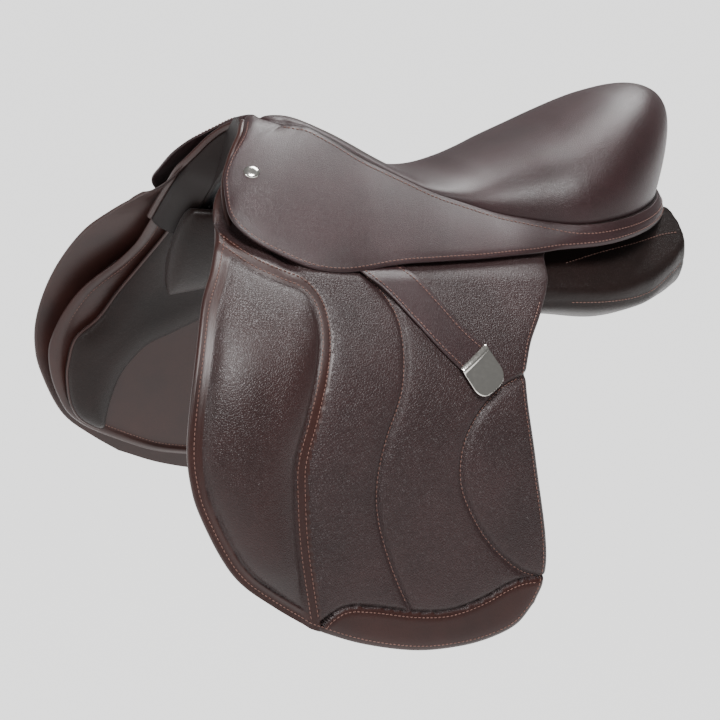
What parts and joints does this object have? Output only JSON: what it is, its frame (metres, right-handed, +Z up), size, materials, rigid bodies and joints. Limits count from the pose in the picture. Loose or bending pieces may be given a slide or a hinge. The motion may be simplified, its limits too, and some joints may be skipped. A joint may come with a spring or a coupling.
{
  "type": "english saddle",
  "caption": "English riding saddle with a spring tree, deep padded seat, lifting skirts and flaps with knee rolls, stirrup bars, girth straps and cushioned panels.",
  "frame": {"origin": "underside of the channel roof at mid-saddle, on the centre line", "axes": "-X to the pommel, +X to the cantle, -Y near side, +Y off side, +Z up"},
  "size_m": [0.5192, 0.4976, 0.4353],
  "materials": {
    "tree_polymer": "satin moulded",
    "steel": "plated",
    "nickel": "polished",
    "webbing": "woven",
    "foam": "open cell",
    "air_cell_film": "smooth film",
    "seat_leather": "smooth, soft sheen",
    "grain_leather": "pebbled grain",
    "red_leather": "smooth, waxed",
    "panel_leather": "soft, fine wrinkles",
    "dark_leather": "smooth, dark"
  },
  "bodies": {
    "saddle": {"tree": "tree_polymer", "gullet_plate": "steel", "gullet_screws": "steel", "seat_webbing": "webbing", "seat_foam": "foam", "seat_cover": "seat_leather", "seat_welt": "dark_leather", "pommel_facing": "dark_leather", "rear_strip": "seat_leather", "saddle_nails": "nickel", "bar_rivets": "steel", "catch_pins": "steel", "girth_webs": "webbing", "strap_rivets": "steel", "channel_lining": "dark_leather", "skirt_top_near": "seat_leather", "skirt_top_off": "seat_leather", "flap_head_near": "grain_leather", "flap_head_off": "grain_leather", "stirrup_bar_near": "steel", "stirrup_bar_off": "steel", "panel_near": "panel_leather", "panel_off": "panel_leather", "panel_gusset_near": "panel_leather", "panel_gusset_off": "panel_leather", "air_cells_near": "air_cell_film", "air_cells_off": "air_cell_film", "panel_flap_near": "grain_leather", "panel_flap_off": "grain_leather", "sweat_flap_near": "grain_leather", "sweat_flap_off": "grain_leather", "knee_block_near": "dark_leather", "knee_block_off": "dark_leather"},
    "near_flap": {"flap_near": "red_leather", "knee_roll_near": "grain_leather", "seam_strip_near": "red_leather", "flap_pad_near": "grain_leather", "bottom_patch_near": "red_leather", "keeper_strap_near": "grain_leather", "keeper_clip_near": "nickel"},
    "near_skirt": {"skirt_lobe_near": "seat_leather"},
    "near_catch": {"bar_catch_near": "steel"},
    "near_strap_front": {"strap_front_near": "grain_leather"},
    "near_strap_middle": {"strap_middle_near": "grain_leather"},
    "near_strap_rear": {"strap_rear_near": "grain_leather"},
    "near_guard": {"buckle_guard_near": "grain_leather"},
    "off_flap": {"flap_off": "red_leather", "knee_roll_off": "grain_leather", "seam_strip_off": "red_leather", "flap_pad_off": "grain_leather", "bottom_patch_off": "red_leather", "keeper_strap_off": "grain_leather", "keeper_clip_off": "nickel"},
    "off_skirt": {"skirt_lobe_off": "seat_leather"},
    "off_catch": {"bar_catch_off": "steel"},
    "off_strap_front": {"strap_front_off": "grain_leather"},
    "off_strap_middle": {"strap_middle_off": "grain_leather"},
    "off_strap_rear": {"strap_rear_off": "grain_leather"},
    "off_guard": {"buckle_guard_off": "grain_leather"}
  },
  "joints": [
    {"name": "near_flap_lift", "type": "hinge", "parent": "saddle", "child": "near_flap", "pos_m": [0, -0.14804, -0.024], "axis": [-1, 0, 0], "range_deg": [0, 70]},
    {"name": "near_skirt_lift", "type": "hinge", "parent": "saddle", "child": "near_skirt", "pos_m": [-0.262, -0.05767, 0.062], "axis": [-0.9011, 0.3266, 0.2853], "range_deg": [0, 50]},
    {"name": "near_catch_turn", "type": "hinge", "parent": "saddle", "child": "near_catch", "pos_m": [-0.144, -0.09448, 0.02176], "axis": [0, -0.6646, 0.7472], "range_deg": [0, 75]},
    {"name": "near_strap_front_swing", "type": "hinge", "parent": "saddle", "child": "near_strap_front", "pos_m": [-0.192, -0.19166, -0.10958], "axis": [0, -0.9773, 0.2121], "range_deg": [-4, 4]},
    {"name": "near_strap_middle_swing", "type": "hinge", "parent": "saddle", "child": "near_strap_middle", "pos_m": [-0.136, -0.19166, -0.10958], "axis": [0, -0.9773, 0.2121], "range_deg": [-4, 4]},
    {"name": "near_strap_rear_swing", "type": "hinge", "parent": "saddle", "child": "near_strap_rear", "pos_m": [-0.08, -0.19166, -0.10958], "axis": [0, -0.9773, 0.2121], "range_deg": [-4, 4]},
    {"name": "near_guard_slide", "type": "slide", "parent": "near_strap_middle", "child": "near_guard", "axis": [0, -0.2121, -0.9773], "range_m": [0, 0.04]},
    {"name": "off_flap_lift", "type": "hinge", "parent": "saddle", "child": "off_flap", "pos_m": [0, 0.14804, -0.024], "axis": [1, 0, 0], "range_deg": [0, 70]},
    {"name": "off_skirt_lift", "type": "hinge", "parent": "saddle", "child": "off_skirt", "pos_m": [-0.262, 0.05767, 0.062], "axis": [0.9011, 0.3266, -0.2853], "range_deg": [0, 50]},
    {"name": "off_catch_turn", "type": "hinge", "parent": "saddle", "child": "off_catch", "pos_m": [-0.144, 0.09448, 0.02176], "axis": [0, -0.6646, -0.7472], "range_deg": [0, 75]},
    {"name": "off_strap_front_swing", "type": "hinge", "parent": "saddle", "child": "off_strap_front", "pos_m": [-0.192, 0.19166, -0.10958], "axis": [0, 0.9773, 0.2121], "range_deg": [-4, 4]},
    {"name": "off_strap_middle_swing", "type": "hinge", "parent": "saddle", "child": "off_strap_middle", "pos_m": [-0.136, 0.19166, -0.10958], "axis": [0, 0.9773, 0.2121], "range_deg": [-4, 4]},
    {"name": "off_strap_rear_swing", "type": "hinge", "parent": "saddle", "child": "off_strap_rear", "pos_m": [-0.08, 0.19166, -0.10958], "axis": [0, 0.9773, 0.2121], "range_deg": [-4, 4]},
    {"name": "off_guard_slide", "type": "slide", "parent": "off_strap_middle", "child": "off_guard", "axis": [0, 0.2121, -0.9773], "range_m": [0, 0.04]}
  ]
}
